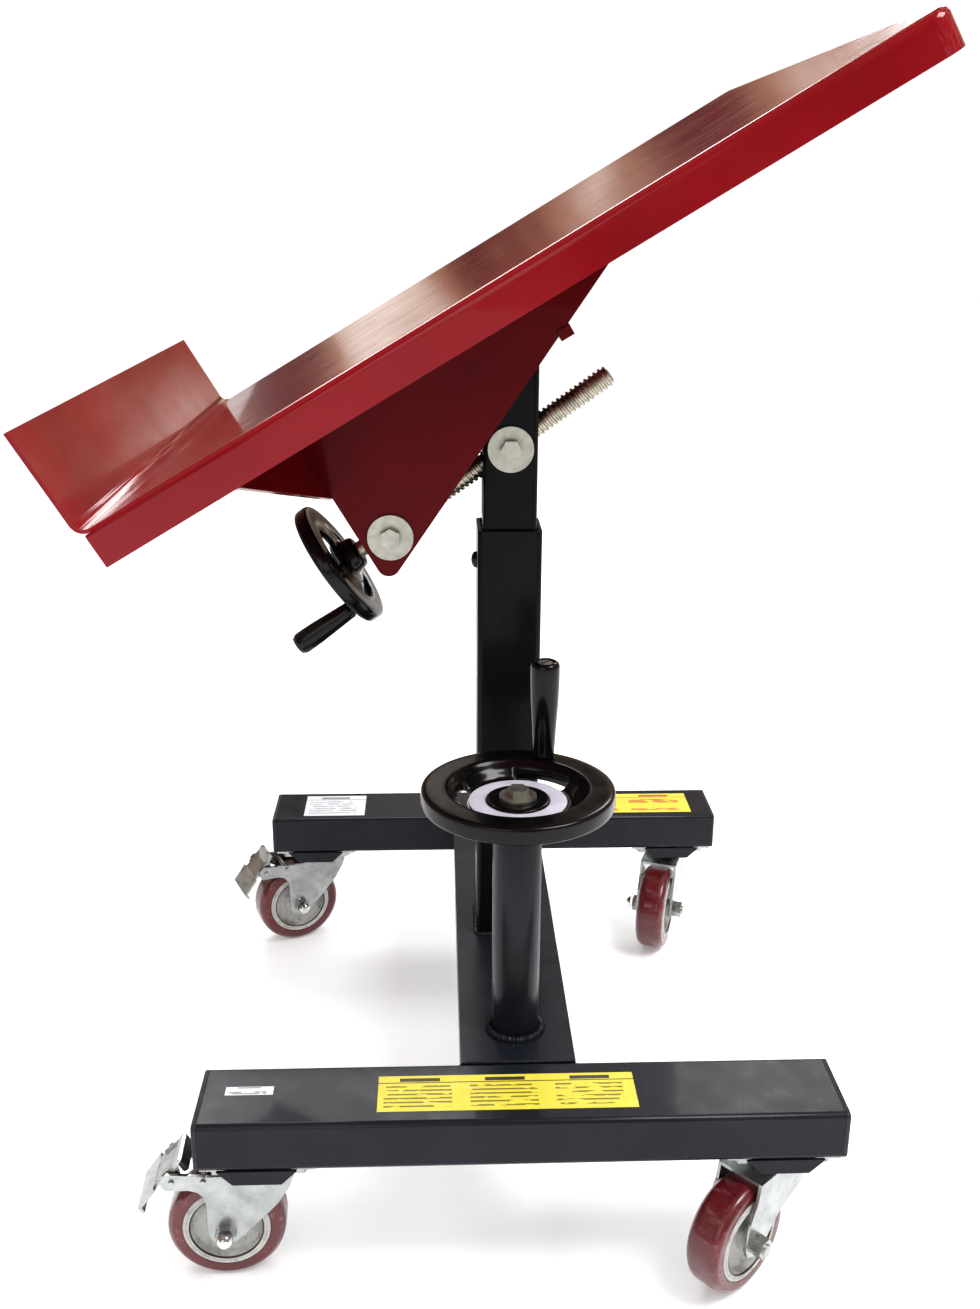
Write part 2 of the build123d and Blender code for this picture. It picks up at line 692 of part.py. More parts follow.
make_beams()
make_spine()
make_column()
make_lift_drive()
make_lift_wheel()
make_mast()
make_tray()
make_tilt_drive()
make_caster_mounts()
drill_beams()
for caster in caster_places:
    make_caster(caster)

outline_box = Compound(list(nodes.values())).bounding_box()
column_place = (-outline_box.center().X, -outline_box.center().Y)
for name, shape in nodes.items():
    export_step(Pos(*column_place, 0) * shape, f"parts/{name}.step")
print("column at", column_place, "box", outline_box.size, "lowest", outline_box.min.Z, "nodes", len(nodes))
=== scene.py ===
import json
import math
import random

import bmesh
import bpy
from mathutils import Matrix, Vector


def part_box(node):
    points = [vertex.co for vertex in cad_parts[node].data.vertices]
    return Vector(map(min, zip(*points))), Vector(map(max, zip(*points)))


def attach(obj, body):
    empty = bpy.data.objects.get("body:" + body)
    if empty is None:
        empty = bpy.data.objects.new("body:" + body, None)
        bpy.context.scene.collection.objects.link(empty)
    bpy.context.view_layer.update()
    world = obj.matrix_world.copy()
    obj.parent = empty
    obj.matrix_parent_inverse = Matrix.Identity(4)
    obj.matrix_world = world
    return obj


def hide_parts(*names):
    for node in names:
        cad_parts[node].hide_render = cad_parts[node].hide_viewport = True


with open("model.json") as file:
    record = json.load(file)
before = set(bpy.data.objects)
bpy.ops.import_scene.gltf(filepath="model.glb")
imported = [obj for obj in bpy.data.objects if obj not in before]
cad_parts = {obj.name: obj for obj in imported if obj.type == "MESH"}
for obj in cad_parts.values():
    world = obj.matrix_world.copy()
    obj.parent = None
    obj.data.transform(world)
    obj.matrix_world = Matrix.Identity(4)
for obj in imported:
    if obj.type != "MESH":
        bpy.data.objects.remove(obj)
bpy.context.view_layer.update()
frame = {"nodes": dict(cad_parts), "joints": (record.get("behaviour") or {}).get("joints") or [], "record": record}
NODES = frame["nodes"]
JOINTS = {joint["name"]: joint for joint in frame["joints"]}
CORNERS = ("front_left", "rear_left", "front_right", "rear_right")
BRAKED = ("front_left", "rear_left")
MM = 0.001


# ---------------------------------------------------------------- places
def middle(node):
    low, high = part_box(node)
    return (low + high) / 2


COLUMN = middle("outer_column")
POST = middle("handwheel_post")
BEAM_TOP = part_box("front_beam")[1].z
WHEEL_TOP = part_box("lift_handwheel")[1].z


def axis_frame(origin, z_axis, x_hint=(0, 1, 0)):
    """A matrix at origin whose local Z is z_axis and whose X is as near x_hint as it can be."""
    z = Vector(z_axis).normalized()
    x = Vector(x_hint) - z * Vector(x_hint).dot(z)
    x.normalize()
    y = z.cross(x)
    turn = Matrix((x, y, z)).transposed().to_4x4()
    return Matrix.Translation(Vector(origin)) @ turn


# ---------------------------------------------------------------- materials
class Paint:
    """Builds one procedural material on a Principled shader."""

    def __init__(self, name):
        self.material = bpy.data.materials.new(name)
        self.material.use_nodes = True
        self.tree = self.material.node_tree
        self.shader = self.tree.nodes["Principled BSDF"]
        self.coords = self.node("ShaderNodeTexCoord").outputs["Object"]

    def node(self, kind, **settings):
        made = self.tree.nodes.new(kind)
        for key, value in settings.items():
            setattr(made, key, value)
        return made

    def link(self, a, b):
        self.tree.links.new(a, b)

    def stretched(self, scale):
        mapping = self.node("ShaderNodeMapping")
        mapping.inputs["Scale"].default_value = scale
        self.link(self.coords, mapping.inputs["Vector"])
        return mapping.outputs["Vector"]

    def noise(self, scale, detail=4.0, roughness=0.55, stretch=None):
        noise = self.node("ShaderNodeTexNoise")
        noise.inputs["Scale"].default_value = scale
        noise.inputs["Detail"].default_value = detail
        noise.inputs["Roughness"].default_value = roughness
        self.link(self.stretched(stretch) if stretch else self.coords, noise.inputs["Vector"])
        return noise.outputs["Fac"]

    def ramp(self, source, stops):
        ramp = self.node("ShaderNodeValToRGB")
        elements = ramp.color_ramp.elements
        while len(elements) < len(stops):
            elements.new(0.5)
        for element, (place, color) in zip(elements, stops):
            element.position = place
            element.color = (*color, 1.0) if isinstance(color, tuple) else (color, color, color, 1.0)
        self.link(source, ramp.inputs["Fac"])
        return ramp.outputs["Color"]

    def mix(self, factor, a, b):
        mix = self.node("ShaderNodeMix", data_type="RGBA")
        self.link(factor, mix.inputs["Factor"])
        for socket, value in ((mix.inputs[6], a), (mix.inputs[7], b)):
            if isinstance(value, tuple):
                socket.default_value = (*value, 1.0)
            else:
                self.link(value, socket)
        return mix.outputs[2]

    def math(self, operation, a, b):
        made = self.node("ShaderNodeMath", operation=operation)
        for socket, value in zip(made.inputs, (a, b)):
            if isinstance(value, (int, float)):
                socket.default_value = value
            else:
                self.link(value, socket)
        return made.outputs[0]

    def spread(self, source, low, high):
        span = self.node("ShaderNodeMapRange")
        span.inputs["From Min"].default_value = 0.3
        span.inputs["From Max"].default_value = 0.7
        span.inputs["To Min"].default_value = low
        span.inputs["To Max"].default_value = high
        self.link(source, span.inputs["Value"])
        return span.outputs["Result"]

    def color(self, source):
        self.link(source, self.shader.inputs["Base Color"])

    def roughness(self, low, high, scale=60.0, stretch=None):
        rough = self.spread(self.noise(scale, 5.0, 0.6, stretch), low, high)
        self.link(rough, self.shader.inputs["Roughness"])

    def bump(self, height, distance, strength=1.0):
        bump = self.node("ShaderNodeBump")
        bump.inputs["Strength"].default_value = strength
        bump.inputs["Distance"].default_value = distance
        self.link(height, bump.inputs["Height"])
        self.link(bump.outputs["Normal"], self.shader.inputs["Normal"])

    def constants(self, **values):
        for key, value in values.items():
            self.shader.inputs[key.replace("_", " ")].default_value = value

    def edges(self, low, high):
        """White on worn outside edges, black elsewhere."""
        shape = self.node("ShaderNodeNewGeometry").outputs["Pointiness"]
        return self.ramp(shape, [(low, 0.0), (high, 1.0)])


def red_paint(name, deep, bright, gloss):
    paint = Paint(name)
    body = paint.ramp(paint.noise(9, 3), [(0.3, deep), (0.7, bright)])
    scuffs = paint.ramp(paint.noise(260, 6, 0.7, (1.0, 0.12, 1.0)), [(0.70, 0.0), (0.78, 1.0)])
    patches = paint.ramp(paint.noise(7, 2), [(0.56, 0.0), (0.72, 0.5)])
    worn = paint.math("MULTIPLY", scuffs, patches)
    paint.color(paint.mix(worn, body, (0.66, 0.30, 0.28)))
    paint.constants(Coat_Weight=gloss, Coat_Roughness=0.03, Coat_IOR=1.45, Specular_IOR_Level=gloss * 0.6)
    paint.roughness(0.12, 0.22, 24)
    paint.bump(paint.noise(75, 3, 0.5), 0.0005, 0.16)
    return paint.material


def frame_paint():
    paint = Paint("frame_paint")
    body = paint.ramp(paint.noise(14, 3), [(0.3, (0.011, 0.0125, 0.017)), (0.7, (0.016, 0.018, 0.025))])
    specks = paint.ramp(paint.noise(900, 2, 0.5), [(0.72, 0.0), (0.78, 1.0)])
    patches = paint.ramp(paint.noise(11, 2), [(0.52, 0.0), (0.66, 0.7)])
    paint.color(paint.mix(paint.math("MULTIPLY", specks, patches), body, (0.16, 0.17, 0.19)))
    paint.constants(Coat_Weight=0.12, Coat_Roughness=0.06, Specular_IOR_Level=0.2)
    paint.roughness(0.24, 0.38, 40)
    paint.bump(paint.noise(700, 2, 0.5), 0.0003, 0.10)
    return paint.material


def column_paint():
    paint = Paint("column_paint")
    body = paint.ramp(paint.noise(12, 3), [(0.3, (0.003, 0.0035, 0.004)), (0.7, (0.005, 0.006, 0.007))])
    smears = paint.ramp(paint.noise(16, 5, 0.6, (1.0, 1.0, 0.2)), [(0.52, 0.0), (0.75, 0.6)])
    bluish = paint.mix(smears, body, (0.010, 0.012, 0.017))
    paint.color(paint.mix(paint.edges(0.54, 0.62), bluish, (0.06, 0.042, 0.035)))
    paint.constants(Coat_Weight=0.04, Coat_Roughness=0.08, Specular_IOR_Level=0.13)
    paint.roughness(0.20, 0.36, 30, (1.0, 1.0, 0.3))
    paint.bump(paint.noise(600, 2, 0.5), 0.0003, 0.07)
    return paint.material


def black_plastic():
    paint = Paint("black_plastic")
    body = paint.ramp(paint.noise(30, 3), [(0.3, (0.003, 0.003, 0.0035)), (0.7, (0.006, 0.0055, 0.006))])
    marks = paint.ramp(paint.noise(190, 5, 0.7, (1.0, 0.22, 1.0)), [(0.66, 0.0), (0.74, 1.0)])
    patches = paint.ramp(paint.noise(17, 2), [(0.48, 0.0), (0.62, 0.5)])
    paint.color(paint.mix(paint.math("MULTIPLY", marks, patches), body, (0.12, 0.11, 0.10)))
    paint.constants(Coat_Weight=0.22, Coat_Roughness=0.05, Specular_IOR_Level=0.2)
    paint.roughness(0.12, 0.28, 45)
    paint.bump(paint.noise(350, 3, 0.6), 0.0003, 0.10)
    return paint.material


def cap_plastic():
    paint = Paint("cap_plastic")
    paint.color(paint.ramp(paint.noise(60, 4), [(0.3, (0.011, 0.011, 0.012)), (0.7, (0.020, 0.020, 0.021))]))
    paint.roughness(0.42, 0.60, 80)
    paint.bump(paint.noise(1400, 3, 0.6), 0.0002, 0.35)
    return paint.material


def metal(name, dark, light, low, high, scale, stretch=None, bump=0.12, dirt=None):
    paint = Paint(name)
    body = paint.ramp(paint.noise(scale, 5, 0.6, stretch), [(0.32, dark), (0.68, light)])
    if dirt:
        grime = paint.ramp(paint.noise(scale * 0.35, 5, 0.65), [(0.55, 0.0), (0.78, 0.8)])
        body = paint.mix(grime, body, dirt)
    paint.color(body)
    paint.constants(Metallic=1.0)
    paint.roughness(low, high, scale * 2.2, stretch)
    paint.bump(paint.noise(scale * 7, 3, 0.6, stretch), 0.0002, bump)
    return paint.material


def polyurethane():
    paint = Paint("polyurethane")
    body = paint.ramp(paint.noise(24, 3), [(0.3, (0.075, 0.004, 0.008)), (0.7, (0.125, 0.006, 0.012))])
    streaks = paint.ramp(paint.noise(150, 6, 0.7, (1.0, 1.0, 0.25)), [(0.56, 0.0), (0.72, 0.8)])
    patches = paint.ramp(paint.noise(26, 3), [(0.42, 0.0), (0.60, 0.75)])
    paint.color(paint.mix(paint.math("MULTIPLY", streaks, patches), body, (0.30, 0.17, 0.15)))
    paint.constants(Coat_Weight=0.7, Coat_Roughness=0.08)
    paint.roughness(0.26, 0.50, 90)
    paint.bump(paint.noise(500, 4, 0.6), 0.0004, 0.22)
    return paint.material


def hub_plastic():
    paint = Paint("hub_plastic")
    body = paint.ramp(paint.noise(70, 6, 0.7), [(0.32, (0.34, 0.335, 0.315)), (0.68, (0.56, 0.555, 0.53))])
    dirt = paint.ramp(paint.noise(210, 5, 0.7), [(0.56, 0.0), (0.70, 0.75)])
    paint.color(paint.mix(dirt, body, (0.11, 0.10, 0.09)))
    paint.roughness(0.42, 0.66, 120)
    paint.bump(paint.noise(800, 4, 0.6), 0.0004, 0.25)
    return paint.material


def plain(name, dark, light, low, high, scale, bump=0.15):
    paint = Paint(name)
    paint.color(paint.ramp(paint.noise(scale, 4), [(0.3, dark), (0.7, light)]))
    paint.roughness(low, high, scale * 1.7)
    paint.bump(paint.noise(scale * 9, 3, 0.6), 0.0002, bump)
    return paint.material


def label_paper(name, base, ink, panels, rows, start, size):
    """A printed sticker with panels of plain bars, which spell nothing. start and size are in metres."""
    paint = Paint(name)

    def both(a, b):
        return paint.math("MULTIPLY", a, b)

    def within(value, low, high):
        return both(paint.math("GREATER_THAN", value, low), paint.math("LESS_THAN", value, high))

    split = paint.node("ShaderNodeSeparateXYZ")
    paint.link(paint.coords, split.inputs[0])
    u = paint.math("DIVIDE", paint.math("SUBTRACT", split.outputs[0], start[0]), size[0])
    v = paint.math("DIVIDE", paint.math("SUBTRACT", split.outputs[1], start[1]), size[1])
    across = paint.math("FRACT", paint.math("MULTIPLY", u, panels), 0)
    down = paint.math("FRACT", paint.math("MULTIPLY", v, rows), 0)
    line = paint.math("LESS_THAN", down, 0.42)
    margin = within(across, 0.07, 0.86)
    ragged = paint.math("GREATER_THAN", paint.noise(90, 1, 0.5, (1.0, 3.0, 1.0)), 0.43)
    inside = within(v, 0.1, 0.78)
    printed = both(both(line, margin), both(ragged, inside))
    heading = both(within(v, 0.83, 0.93), within(across, 0.25, 0.72))
    rule = paint.math("LESS_THAN", paint.math("ABSOLUTE", paint.math("SUBTRACT", v, 0.80), 0), 0.012)
    faint = paint.math("MULTIPLY", printed, 0.75)
    ink_mask = paint.math("MAXIMUM", faint, paint.math("MAXIMUM", heading, rule))
    faded = paint.ramp(paint.noise(60, 4), [(0.3, tuple(c * 0.88 for c in base)), (0.7, base)])
    paint.color(paint.mix(ink_mask, faded, ink))
    paint.roughness(0.30, 0.46, 100)
    paint.bump(paint.noise(300, 3), 0.0002, 0.08)
    return paint.material


MATERIALS = {
    "red_paint": red_paint("red_paint", (0.175, 0.004, 0.008), (0.222, 0.004, 0.010), 0.38),
    "frame_paint": frame_paint(),
    "column_paint": column_paint(),
    "black_plastic": black_plastic(),
    "cap_plastic": cap_plastic(),
    "nylon": plain("nylon", (0.55, 0.54, 0.50), (0.72, 0.71, 0.66), 0.4, 0.6, 60),
    "zinc_plate": metal("zinc_plate", (0.35, 0.37, 0.365), (0.53, 0.55, 0.545), 0.22, 0.40, 55, None, 0.10),
    "black_steel": metal("black_steel", (0.02, 0.02, 0.02), (0.05, 0.05, 0.05), 0.3, 0.5, 60),
    "machined_steel": metal(
        "machined_steel", (0.30, 0.27, 0.22), (0.58, 0.54, 0.46), 0.24, 0.46, 60,
        bump=0.14, dirt=(0.10, 0.07, 0.045)
    ),
    "bronze": metal("bronze", (0.42, 0.27, 0.12), (0.62, 0.43, 0.22), 0.3, 0.5, 50),
    "satin_aluminium": plain("satin_ring", (0.50, 0.50, 0.58), (0.66, 0.66, 0.74), 0.34, 0.52, 45),
    "polyurethane": polyurethane(),
    "hub_plastic": hub_plastic(),
}
# a darker, less glossy copy of the red paint for the parts under the tray: painted shade, for the tray's shadow
# over them
SHADED_RED = red_paint("painted_shade_red", (0.095, 0.002, 0.004), (0.125, 0.003, 0.006), 0.12)
CHROME = metal("bright_chrome", (0.66, 0.67, 0.68), (0.86, 0.87, 0.88), 0.08, 0.2, 50, None, 0.05)
RUBBER = plain("pedal_rubber", (0.012, 0.012, 0.012), (0.028, 0.027, 0.026), 0.5, 0.75, 90, 0.3)
WASHER = metal("washer_zinc", (0.40, 0.40, 0.36), (0.54, 0.54, 0.49), 0.36, 0.56, 80, None, 0.15)
# near-black for painted shade: in the hub grooves, the grip screw's slot and the caster ball races
SHADE_BLACK = plain("painted_shade_black", (0.02, 0.016, 0.012), (0.05, 0.04, 0.03), 0.2, 0.5, 80, 0.3)


# ---------------------------------------------------------------- mesh helpers
def mesh_from(name, shape):
    """Turns a bmesh into a mesh and frees it."""
    mesh = bpy.data.meshes.new(name)
    shape.to_mesh(mesh)
    shape.free()
    return mesh


def on_circle(radius, step, steps):
    """The x and y of one of the equal steps round a circle about the origin."""
    turn = 2 * math.pi * step / steps
    return radius * math.cos(turn), radius * math.sin(turn)


def finished(name, mesh, material, body, place=None, sharp=35.0):
    """Turns a mesh into a piece that rides on a body."""
    for polygon in mesh.polygons:
        polygon.use_smooth = True
    mesh.set_sharp_from_angle(angle=math.radians(sharp))
    mesh.materials.append(material)
    piece = bpy.data.objects.new(name, mesh)
    bpy.context.scene.collection.objects.link(piece)
    if place is not None:
        piece.matrix_world = place
    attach(piece, body)
    return piece


def lathe_mesh(name, profile, steps=64, closed=True):
    """A mesh turned about Z from (radius, height) points in millimetres, listed anticlockwise."""
    shape = bmesh.new()
    rings = []
    for radius, height in profile:
        if radius < 1e-6:
            rings.append([shape.verts.new((0, 0, height * MM))])
            continue
        ring = []
        for step in range(steps):
            ring.append(shape.verts.new((*on_circle(radius * MM, step, steps), height * MM)))
        rings.append(ring)
    pairs = list(zip(rings, rings[1:]))
    if closed:
        pairs.append((rings[-1], rings[0]))
    for a, b in pairs:
        if len(a) == 1 and len(b) == 1:
            continue
        for step in range(steps):
            after = (step + 1) % steps
            corners = [a[step % len(a)], a[after % len(a)], b[after % len(b)], b[step % len(b)]]
            unique = list(dict.fromkeys(corners))
            if len(unique) > 2:
                shape.faces.new(unique)
    bmesh.ops.recalc_face_normals(shape, faces=shape.faces)
    return mesh_from(name, shape)


def rounded(points, radius, parts=4):
    """The (radius, height) outline with each inside corner replaced by a short arc."""
    smooth = []
    count = len(points)
    for index, point in enumerate(points):
        here = Vector(point)
        before = Vector(points[index - 1])
        after = Vector(points[(index + 1) % count])
        reach = min(radius, (here - before).length * 0.45, (after - here).length * 0.45)
        start = here + (before - here).normalized() * reach
        end = here + (after - here).normalized() * reach
        if here.x < 1e-6:
            smooth.append(tuple(here))
            continue
        for part in range(parts + 1):
            t = part / parts
            smooth.append(tuple(start * (1 - t) ** 2 + here * 2 * t * (1 - t) + end * t ** 2))
    return smooth


def tube_mesh(name, path, radius, sides, closed, ripple, wave, seed):
    """A bead along points in metres, with the ripples of a hand weld."""
    rng = random.Random(seed)
    dense = []
    points = list(path) + ([path[0]] if closed else [])
    for a, b in zip(points, points[1:]):
        a, b = Vector(a), Vector(b)
        count = max(1, round((b - a).length / (wave / 3)))
        dense += [a.lerp(b, step / count) for step in range(count)]
    if not closed:
        dense.append(Vector(points[-1]))
    shape = bmesh.new()
    rings = []
    total = len(dense)
    phase = 0.0
    for index, point in enumerate(dense):
        has_next = closed or index + 1 < total
        after = dense[(index + 1) % total] if has_next else point + (point - dense[index - 1])
        before = dense[index - 1] if closed or index else point - (after - point)
        ahead = (after - before).normalized()
        side = ahead.cross(Vector((0.13, 0.31, 0.94))).normalized()
        up = side.cross(ahead)
        phase += 2 * math.pi / 3 * rng.uniform(0.8, 1.2)
        size = radius * (1 + ripple * math.sin(phase) + ripple * rng.uniform(-0.4, 0.4))
        ring = []
        for step in range(sides):
            x, y = on_circle(size, step, sides)
            ring.append(shape.verts.new(point + side * x + up * y))
        rings.append(ring)
    pairs = list(zip(rings, rings[1:]))
    if closed:
        pairs.append((rings[-1], rings[0]))
    else:
        shape.faces.new(rings[0][::-1])
        shape.faces.new(rings[-1])
    for a, b in pairs:
        for step in range(sides):
            after = (step + 1) % sides
            shape.faces.new((a[step], a[after], b[after], b[step]))
    bmesh.ops.recalc_face_normals(shape, faces=shape.faces)
    return mesh_from(name, shape)


def slab_mesh(name, size, bevel=0.0, parts=3):
    """A block about the origin with rounded edges."""
    shape = bmesh.new()
    bmesh.ops.create_cube(shape, size=1.0)
    bmesh.ops.scale(shape, vec=Vector(size), verts=shape.verts)
    if bevel:
        bmesh.ops.bevel(shape, geom=shape.edges[:], offset=bevel, segments=parts, profile=0.5, affect="EDGES")
    return mesh_from(name, shape)


# ---------------------------------------------------------------- carried CAD pieces
SLOTS = {part["node"]: part["material_slot"] for part in frame["record"]["subparts"]}
WASHER_NODES = ("tilt_pivot_bolts", "nut_pivot_bolts", "lift_wheel_fasteners")
UNDER_TRAY = ("bracket_plates", "cross_gusset", "stop_bar", "hinge_pin")
FINE = {"hinge_pin", "roller_chain", "drive_sprocket", "driven_sprocket"}
SOFT_EDGE = {
    "zinc_plate": 0.35,
    "red_paint": 0.6,
    "frame_paint": 0.5,
    "column_paint": 0.5,
    "cap_plastic": 0.5,
}


def soften(node, width):
    """Joins the CAD facets and rounds the sheet's edges a little."""
    weld = node.modifiers.new("joined", "WELD")
    weld.merge_threshold = 0.00002
    bevel = node.modifiers.new("edges", "BEVEL")
    bevel.width = width * MM
    bevel.segments = 2
    bevel.limit_method = "ANGLE"
    bevel.angle_limit = math.radians(32)
    bevel.use_clamp_overlap = True
    bevel.harden_normals = True


def dress_nodes():
    for name, node in NODES.items():
        slot = SLOTS[name]
        material = WASHER if name in WASHER_NODES else MATERIALS[slot]
        # the parts under the tray take the darker red copy: painted shade
        if name in UNDER_TRAY:
            material = SHADED_RED
        node.data.materials.clear()
        node.data.materials.append(material)
        if name not in FINE:
            soften(node, SOFT_EDGE.get(slot, 0.3))


# ---------------------------------------------------------------- threaded tilt screw
THREAD_START, THREAD_END = 24.4, 244.6
THREAD_RADIUS, THREAD_DEPTH, THREAD_PITCH = 10.0, 2.0, 5.0
END_SHRINK = 0.93  # the last 2 mm of thread run down to the screw's chamfered end


def thread_mesh(name, plain_profile, start, end, outer, depth, pitch):
    """A shaft along Z, in millimetres: plain turned parts, then a trapezoidal thread to a chamfered end."""
    steps = 48
    shape = bmesh.new()
    marks = [(0.00, outer - depth), (0.30, outer - depth), (0.46, outer), (0.84, outer)]
    turns = int((end - start) / pitch) + 1
    total = turns * steps
    lines = [[] for _ in marks]
    for index in range(total + 1):
        for line, (part, radius) in zip(lines, marks):
            z = start + pitch * (index / steps + part - 1.0)
            z_held = min(max(z, start), end)
            reach = radius if z < end - 2 else radius * END_SHRINK
            line.append(shape.verts.new((*on_circle(reach * MM, index, steps), z_held * MM)))
    for index in range(total):
        for row in range(3):
            a, b = lines[row], lines[row + 1]
            shape.faces.new((a[index], a[index + 1], b[index + 1], b[index]))
    for index in range(total - steps):
        a, b = lines[3], lines[0]
        shape.faces.new((a[index], a[index + 1], b[index + 1 + steps], b[index + steps]))
    bmesh.ops.dissolve_degenerate(shape, dist=1e-7, edges=shape.edges)
    mesh = lathe_mesh(name + "_core", plain_profile, 48, closed=False)
    shape.from_mesh(mesh)
    bmesh.ops.recalc_face_normals(shape, faces=shape.faces)
    return mesh_from(name, shape)


SCREW = JOINTS["tilt_wheel_turn"]
SCREW_FRAME = axis_frame(SCREW["pos_m"], SCREW["axis"])
TILT_OUT = -Vector(SCREW["axis"])
TILT_FACE = axis_frame(Vector(SCREW["pos_m"]) + TILT_OUT * 0.068, TILT_OUT)
GRIP_FOOT = 0.0297  # from the tilt grip's joint back to its foot


def make_tilt_screw():
    core = [
        (0, -53), (8, -53), (8, -31), (12, -31), (12, -19.4), (8, -19.4), (8, 19.4), (14, 19.4),
        (14, THREAD_START), (8.2, THREAD_START), (8.2, 244.8), (6.6, 246), (0, 246),
    ]
    mesh = thread_mesh(
        "tilt_screw_thread", core, THREAD_START, THREAD_END, THREAD_RADIUS, THREAD_DEPTH, THREAD_PITCH
    )
    screw = finished("tilt_screw_thread", mesh, MATERIALS["machined_steel"], "tilt_screw",
                     SCREW_FRAME, 30)
    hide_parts("tilt_screw")


# ---------------------------------------------------------------- handwheels and grips
def handwheel_mesh(name, top, bottom, windows, start):
    """A dished wheel about Z with three windows.

    top and bottom list (radius, height) at the same radii, in millimetres. windows is the openings' inner and
    outer radius and half the degrees that each one spans. start turns them.
    """
    steps = 120
    shape = bmesh.new()
    radii = [radius for radius, _ in top]
    upper, lower = [], []
    for surface, grid in ((top, upper), (bottom, lower)):
        for radius, height in surface:
            ring = []
            for step in range(steps):
                ring.append(shape.verts.new((*on_circle(radius * MM, step, steps), height * MM)))
            grid.append(ring)

    def is_open(row, step):
        if row < 0 or row >= len(radii) - 1:
            return True
        inside, outside = radii[row], radii[row + 1]
        if inside < windows[0] - 0.01 or outside > windows[1] + 0.01:
            return False
        angle = (360 * (step + 0.5) / steps - start) % 120
        return angle < windows[2] or angle > 120 - windows[2]

    def wall(a, b):
        """Joins two (row, step) places on the upper surface to the same two below."""
        shape.faces.new((upper[a[0]][a[1]], upper[b[0]][b[1]], lower[b[0]][b[1]], lower[a[0]][a[1]]))

    for row in range(len(radii) - 1):
        for step in range(steps):
            if is_open(row, step):
                continue
            out = row + 1
            after = (step + 1) % steps
            shape.faces.new((upper[row][step], upper[out][step], upper[out][after], upper[row][after]))
            shape.faces.new((lower[row][after], lower[out][after], lower[out][step], lower[row][step]))
            if is_open(row - 1, step):
                wall((row, step), (row, after))
            if is_open(out, step):
                wall((out, after), (out, step))
            if is_open(row, step - 1):
                wall((out, step), (row, step))
            if is_open(row, after):
                wall((row, after), (out, after))
    loose = [vert for vert in shape.verts if not vert.link_faces]
    bmesh.ops.delete(shape, geom=loose, context="VERTS")
    bmesh.ops.recalc_face_normals(shape, faces=shape.faces)
    return mesh_from(name, shape)


def subdivided(piece):
    surface = piece.modifiers.new("smooth", "SUBSURF")
    surface.levels = 1
    surface.render_levels = 1


def make_lift_wheel():
    top = [
        (6, -11), (12, -11), (16, -11), (24.5, -11), (26.6, -11.1), (27.4, -11.6), (27.6, -13.6),
        (28.4, -14), (36, -14), (43.5, -14), (46.5, -13.9), (49, -11.5), (51, -9.0), (53, -6.6),
        (55.5, -4.6), (57.6, -3.1), (59.2, -1.5), (60.2, -0.5), (61.6, -0.05), (64, 0), (72, 0),
        (79, 0), (81.2, -0.4), (82.5, -1.6), (83, -3.4), (83, -8),
    ]
    bottom = [
        (6, -23), (12, -23), (16, -23), (20.5, -23), (24, -21.6), (26.5, -20), (27.6, -19.3),
        (28.4, -19.1), (36, -19), (43.5, -19), (46.5, -18.8), (49, -17.9), (51, -17.2), (53, -16.7),
        (55.5, -16.3), (57.6, -16.1), (59.2, -16), (60.2, -16), (61.6, -16), (64, -16), (72, -16),
        (79, -16), (81.2, -15.6), (82.5, -14.4), (83, -12.8), (83, -8),
    ]
    mesh = handwheel_mesh("lift_wheel_moulding", top, bottom, (43.5, 53, 30), 180)
    place = Matrix.Translation((POST.x, POST.y, WHEEL_TOP))
    wheel = finished("lift_wheel_moulding", mesh, MATERIALS["black_plastic"], "lift_wheel",
                     place, 60)
    subdivided(wheel)
    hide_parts("lift_handwheel")


def make_tilt_wheel():
    top = [
        (4, -9), (8, -9), (13, -9), (17.6, -9), (19.4, -9.2), (20, -9.8), (20.2, -11.4), (21, -12),
        (26, -12), (30, -12), (33, -11.6), (36, -9.6), (38.5, -7.6), (41, -5.6), (43.4, -3.8),
        (45.4, -2.3), (46.6, -0.9), (47.6, -0.2), (49, 0), (54, 0), (59, 0), (60.9, -0.4), (62, -1.5),
        (62.5, -3.2), (62.5, -7),
    ]
    bottom = [
        (4, -30.4), (8, -30.4), (13.6, -30.4), (15.4, -28.6), (16.4, -24), (17.4, -19.6), (18.6, -18),
        (20, -17.4), (26, -17), (30, -17), (33, -16.6), (36, -15.9), (38.5, -15.2), (41, -14.7),
        (43.4, -14.3), (45.4, -14.1), (46.6, -14), (47.6, -14), (49, -14), (54, -14), (59, -14),
        (60.9, -13.6), (62, -12.5), (62.5, -10.8), (62.5, -7),
    ]
    mesh = handwheel_mesh("tilt_wheel_moulding", top, bottom, (26, 41, 30), 100)
    wheel = finished("tilt_wheel_moulding", mesh, MATERIALS["black_plastic"], "tilt_screw",
                     TILT_FACE, 60)
    subdivided(wheel)
    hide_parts("tilt_handwheel")


def grip_mesh(name, length, thin, thick, bore):
    """A tapered crank grip about Z, in millimetres, thin at its foot and open at its end for the screw."""
    swell = thick - thin
    outline = [
        (bore, 0.4), (thin - 0.8, 0.4), (thin, 1.4), (thin + 0.1, 5), (thin + 0.22 * swell, 0.2 * length),
        (thin + 0.55 * swell, 0.42 * length), (thin + 0.86 * swell, 0.62 * length),
        (thick, 0.80 * length), (thick, length - 4.5), (thick - 0.5, length - 2.4),
        (thick - 1.6, length - 0.9), (thick - 3.2, length - 0.1), (bore + 5.2, length),
        (bore + 4.3, length - 0.8), (bore + 4, length - 4), (bore, length - 4),
    ]
    return lathe_mesh(name, outline, 56)


